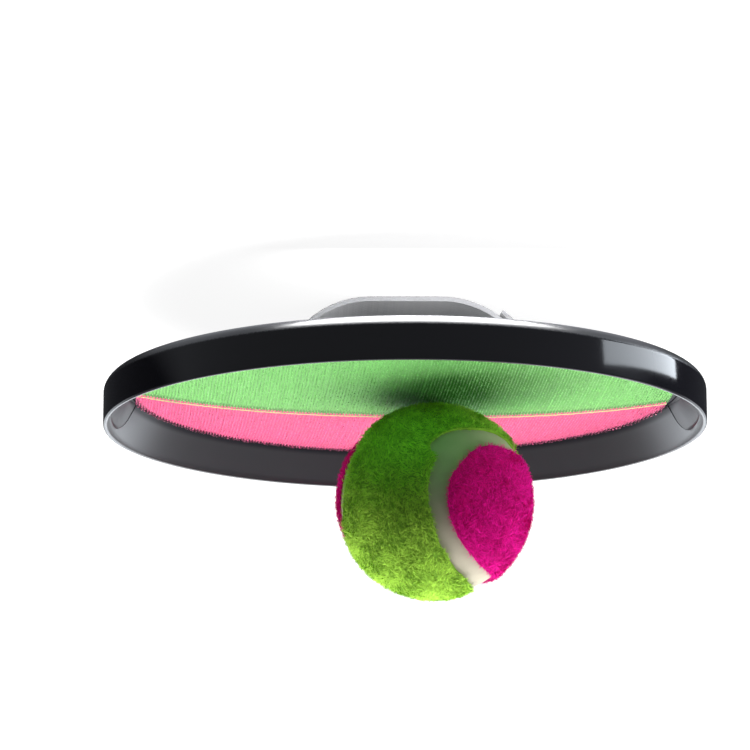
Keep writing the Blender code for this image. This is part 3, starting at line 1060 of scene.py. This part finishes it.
def felt_fibres(name, panel, ball, rng):
    """Short curved fibres that stand and lie on a panel."""
    count = ball.fibres
    root, normal = scatter(panel, count, rng)
    tufts = np.stack([lumps(normal * 1.6, wave) for wave in (6.0, 7.0, 8.0)], axis=1)
    heading = tufts * 5.0 + rng.normal(size=(count, 3))
    heading = unit(heading - (heading * normal).sum(axis=1, keepdims=True) * normal)
    sideways = np.cross(normal, heading)
    long = ball.fibre_length * (0.55 + 0.75 * rng.random(count))
    standing = 0.22 + 0.55 * rng.random(count) ** 2
    width = ball.fibre_width * (0.6 + 0.8 * rng.random(count)) / 2
    roll = rng.normal(0, 0.6, count)
    flat = sideways * np.cos(roll)[:, None] + normal * np.sin(roll)[:, None]
    rise = np.stack([np.full(count, -0.03), 0.75 * standing, 1.0 * standing], axis=1)
    out = np.array([0.0, 0.45, 0.95])
    spine = root[:, None] + long[:, None, None] * (
        rise[..., None] * normal[:, None] + out[None, :, None] * heading[:, None])
    bow = rng.normal(0, 0.12, count) * long
    spine[:, 1] += bow[:, None] * sideways
    thin = np.array([1.0, 0.85, 0.12])
    half = width[:, None, None] * thin[None, :, None] * flat[:, None]
    strips = np.stack([spine - half, spine + half], axis=2)
    facing = unit(normal + rng.normal(0, 0.22, (count, 3)))
    shades = np.clip(0.5 + 0.35 * tufts[:, 0] + rng.normal(0, 0.24, count), 0, 1)
    return ribbons_mesh(name, strips, shades, facing)


class CATCH_OT_ball_core(bpy.types.Operator):
    """Model the rubber core that shows along the seam"""

    bl_idname = "catch.ball_core"
    bl_label = "Ball core"

    def execute(self, context):
        ball = context.scene.catch_ball
        deselect()
        bpy.ops.mesh.primitive_ico_sphere_add(
            subdivisions=6, radius=(core_high.x - core_low.x) / 2, location=ball_centre)
        core = take("ball_rubber")
        place_in_mesh(core)
        places = coordinates(core.data) - np.array(ball_centre)
        uneven = 1.0 + 0.0012 * lumps(unit(places), 4.0)
        set_coordinates(core.data, places * uneven[:, None] + np.array(ball_centre))
        core.data.shade_smooth()
        dress(core, rubber_finish(ball.rubber), "core_rubber", "ball_core")
        return {"FINISHED"}


class CATCH_OT_felt(bpy.types.Operator):
    """Model both felt panels and their fibres"""

    bl_idname = "catch.felt"
    bl_label = "Felt panels"

    def execute(self, context):
        ball = context.scene.catch_ball
        rng = np.random.default_rng(23)
        green_cuts = (
            (1.08, 0.20, 3.2 * mm, 0.0), (1.00, 0.10, 0.0, 3.2 * mm), (0.86, 0.05, -1.2 * mm, 0.0))
        pink_cuts = ((5.30, 0.15, 1.2 * mm, 0.0), (0.30, 0.20, 1.6 * mm, 0.0))
        # The last number of each panel is the strength of its painted glow.
        panels = (
            ("green", Matrix.Identity(3), 0.4, green_cuts, ball.green, 0.02),
            ("pink", Matrix.Rotation(math.pi, 3, "X"), 1.7, pink_cuts, ball.pink, 0.10))
        for word, half_turn, wave, cuts, base, glow in panels:
            panel = felt_panel(f"felt_panel_{word}", half_turn, wave, cuts, ball)
            # light 0.8 paints the matted felt darker than its fibres' 1.0, as shade under the nap.
            dress(panel, felt_finish(f"{word}_felt", base, 0.8, glow), f"felt_{word}", f"ball_felt_{word}")
            fibres = felt_fibres(f"felt_fibres_{word}", panel, ball, rng)
            dress(fibres, felt_finish(f"{word}_fibres", base, 1.0, glow), f"felt_{word}")
        return {"FINISHED"}


# Stage

white, cool, leaf = (1.0, 1.0, 1.0), (0.86, 0.93, 1.0), (0.02, 1.0, 0.22)


def aim(item, place, target, roll=0.0):
    item.location = place
    turn = (Vector(target) - Vector(place)).to_track_quat("-Z", "Y")
    item.rotation_mode = "QUATERNION"
    item.rotation_quaternion = turn @ Matrix.Rotation(roll, 3, "Z").to_quaternion()


def area_light(name, place, target, size, power, tint=white, hidden=None):
    """A lamp that the camera doesn't see. hidden names one more kind of ray that misses it."""
    lamp = bpy.data.lights.new(name, "AREA")
    lamp.shape = "RECTANGLE"
    lamp.size, lamp.size_y = size
    lamp.energy = power
    lamp.color = tint
    item = link(name, lamp)
    aim(item, place, target)
    item.visible_camera = False
    if hidden:
        setattr(item, hidden, False)
    return lamp


def seen_directly(f):
    """1 for what the camera sees, also in gloss or through a clear thing, and 0 for light on the object."""
    camera, gloss, clear = (
        f.light_path(name) for name in ("Is Camera Ray", "Is Glossy Ray", "Is Transmission Ray"))
    return camera.math("MAXIMUM", camera.math("MAXIMUM", camera, gloss), clear)


def white_floor():
    """Pale floor that shows white to the eye and keeps a light shadow. In gloss it is light in front of the
    set and dark behind it, which paints shade into the shell's reflections.
    """
    f = new_finish("white_floor")
    dust = f.noise(3.0, 2.0)
    pale = f.mix(dust, (0.09, 0.09, 0.09), (0.10, 0.10, 0.10))
    plain = f.node("ShaderNodeBsdfDiffuse", None, {"Color": pale})
    shaded = f.node("ShaderNodeBsdfDiffuse", None, {"Color": (0.25, 0.25, 0.25)})
    glow = f.node("ShaderNodeEmission", None, {"Color": white, "Strength": 0.90})
    bright = f.node("ShaderNodeAddShader", None, {0: shaded, 1: glow})
    # Painted reflection: to glossy rays the floor glows in front of the set and is dark behind it, as if the
    # set shaded it.
    front = f.smooth(f.part(f.coordinates(), "Y"), 0.0, -0.07)
    mirrored = f.node(
        "ShaderNodeEmission", None, {"Color": (0.88, 0.92, 1.0), "Strength": 0.05 + front * 0.90})
    direct = f.node("ShaderNodeMixShader", None, {0: f.light_path("Is Glossy Ray"), 1: bright, 2: mirrored})
    shown = f.node("ShaderNodeMixShader", None, {0: seen_directly(f), 1: plain, 2: direct})
    f.tree.links.new(shown.output, f.tree.nodes["Material Output"].inputs["Surface"])
    return f.data


def white_world(fill):
    f = Finish(bpy.data.worlds.new("studio"))
    low = f.node("ShaderNodeBackground", None, {"Color": white, "Strength": fill})
    sky = 0.55 + f.light_path("Is Camera Ray") * 0.45
    high = f.node("ShaderNodeBackground", None, {"Color": white, "Strength": sky})
    shown = f.node("ShaderNodeMixShader", None, {0: seen_directly(f), 1: low, 2: high})
    f.tree.links.new(shown.output, f.tree.nodes["World Output"].inputs["Surface"])
    return f.data


class CATCH_OT_stage(bpy.types.Operator):
    """Set up the camera, the white floor and the studio light"""

    bl_idname = "catch.stage"
    bl_label = "Stage"

    def execute(self, context):
        scene = context.scene
        stage = scene.catch_stage
        flat, high = math.cos(stage.elevation), math.sin(stage.elevation)
        back = Vector((math.sin(stage.azimuth) * flat, -math.cos(stage.azimuth) * flat, high))
        target = Vector(stage.target)
        lens = bpy.data.cameras.new("camera")
        lens.lens = stage.lens
        lens.clip_start, lens.clip_end = 0.05, 50.0
        camera = link("camera", lens)
        aim(camera, target + back * stage.distance, target, stage.roll)
        scene.camera = camera

        deselect()
        bpy.ops.mesh.primitive_plane_add(size=14.0, location=(0, 0, -0.00005))
        floor = take("floor")
        place_in_mesh(floor)
        floor.data.materials.append(white_floor())

        middle = (0.0, 0.0, 0.04)
        area_light("softbox", (-0.10, 0.46, 1.02), middle, (1.3, 1.3), stage.key)
        area_light("back_strip", (0.0, 1.25, 0.37), middle, (3.6, 0.50), stage.rim, cool)
        area_light("side_box", (-0.85, 0.02, 0.30), middle, (0.7, 0.45), stage.side, white, "visible_glossy")
        area_light("rim_box", (0.45, 0.35, 1.0), middle, (0.8, 0.8), stage.edge, white, "visible_glossy")
        area_light(
            "strap_strip", (-0.02, -0.075, 0.013), (-0.02, 0.0, 0.002), (0.09, 0.012), 0.080,
            white, "visible_glossy")
        area_light(
            "pad_bounce", (-0.012, -0.062, 0.037), ball_centre, (0.12, 0.03), 0.0030,
            leaf, "visible_glossy")
        shoulder_strip = area_light(
            "shoulder_strip", (-0.012, -0.0990, 0.0010), (-0.012, -0.0990, 0.2), (0.140, 0.036), 0.18,
            white, "visible_diffuse")
        shoulder_strip.shape = "ELLIPSE"
        shoulder_strip.spread = math.radians(76.0)
        area_light(
            "side_strip", (-0.130, -0.0555, 0.0115), (0.0, -0.0555, 0.0135), (0.073, 0.0195), 0.080,
            cool, "visible_diffuse")
        scene.world = white_world(stage.fill)
        scene.view_settings.view_transform = "Standard"
        return {"FINISHED"}


class CATCH_PT_panel(bpy.types.Panel):
    """Lists the catch set's pieces"""

    bl_idname = "CATCH_PT_panel"
    bl_label = "Catch set"
    bl_space_type = "VIEW_3D"
    bl_region_type = "UI"
    bl_category = "Catch set"

    def draw(self, context):
        for operator in operators:
            self.layout.operator(operator.bl_idname)


operators = (
    CATCH_OT_stage, CATCH_OT_shell, CATCH_OT_hook_pads, CATCH_OT_strap, CATCH_OT_ball_core, CATCH_OT_felt,
)
settings_groups = {
    "catch_shell": CatchShellSettings,
    "catch_pad": CatchPadSettings,
    "catch_strap": CatchStrapSettings,
    "catch_ball": CatchBallSettings,
    "catch_stage": CatchStageSettings,
}


def name_settings(group):
    """Readable names for a group's properties, from their identifiers."""
    for key, kind in group.__annotations__.items():
        kind.keywords["name"] = key.replace("_", " ").capitalize()


def register():
    for name, group in settings_groups.items():
        name_settings(group)
        bpy.utils.register_class(group)
        setattr(bpy.types.Scene, name, bpy.props.PointerProperty(type=group))
    for kind in (*operators, CATCH_PT_panel):
        bpy.utils.register_class(kind)


def unregister():
    for kind in reversed((*operators, CATCH_PT_panel)):
        bpy.utils.unregister_class(kind)
    for name, group in settings_groups.items():
        delattr(bpy.types.Scene, name)
        bpy.utils.unregister_class(group)


def main():
    register()
    bpy.ops.catch.stage()
    bpy.ops.catch.shell()
    bpy.ops.catch.hook_pads()
    bpy.ops.catch.strap()
    bpy.ops.catch.ball_core()
    bpy.ops.catch.felt()


if __name__ == "__main__":
    main()
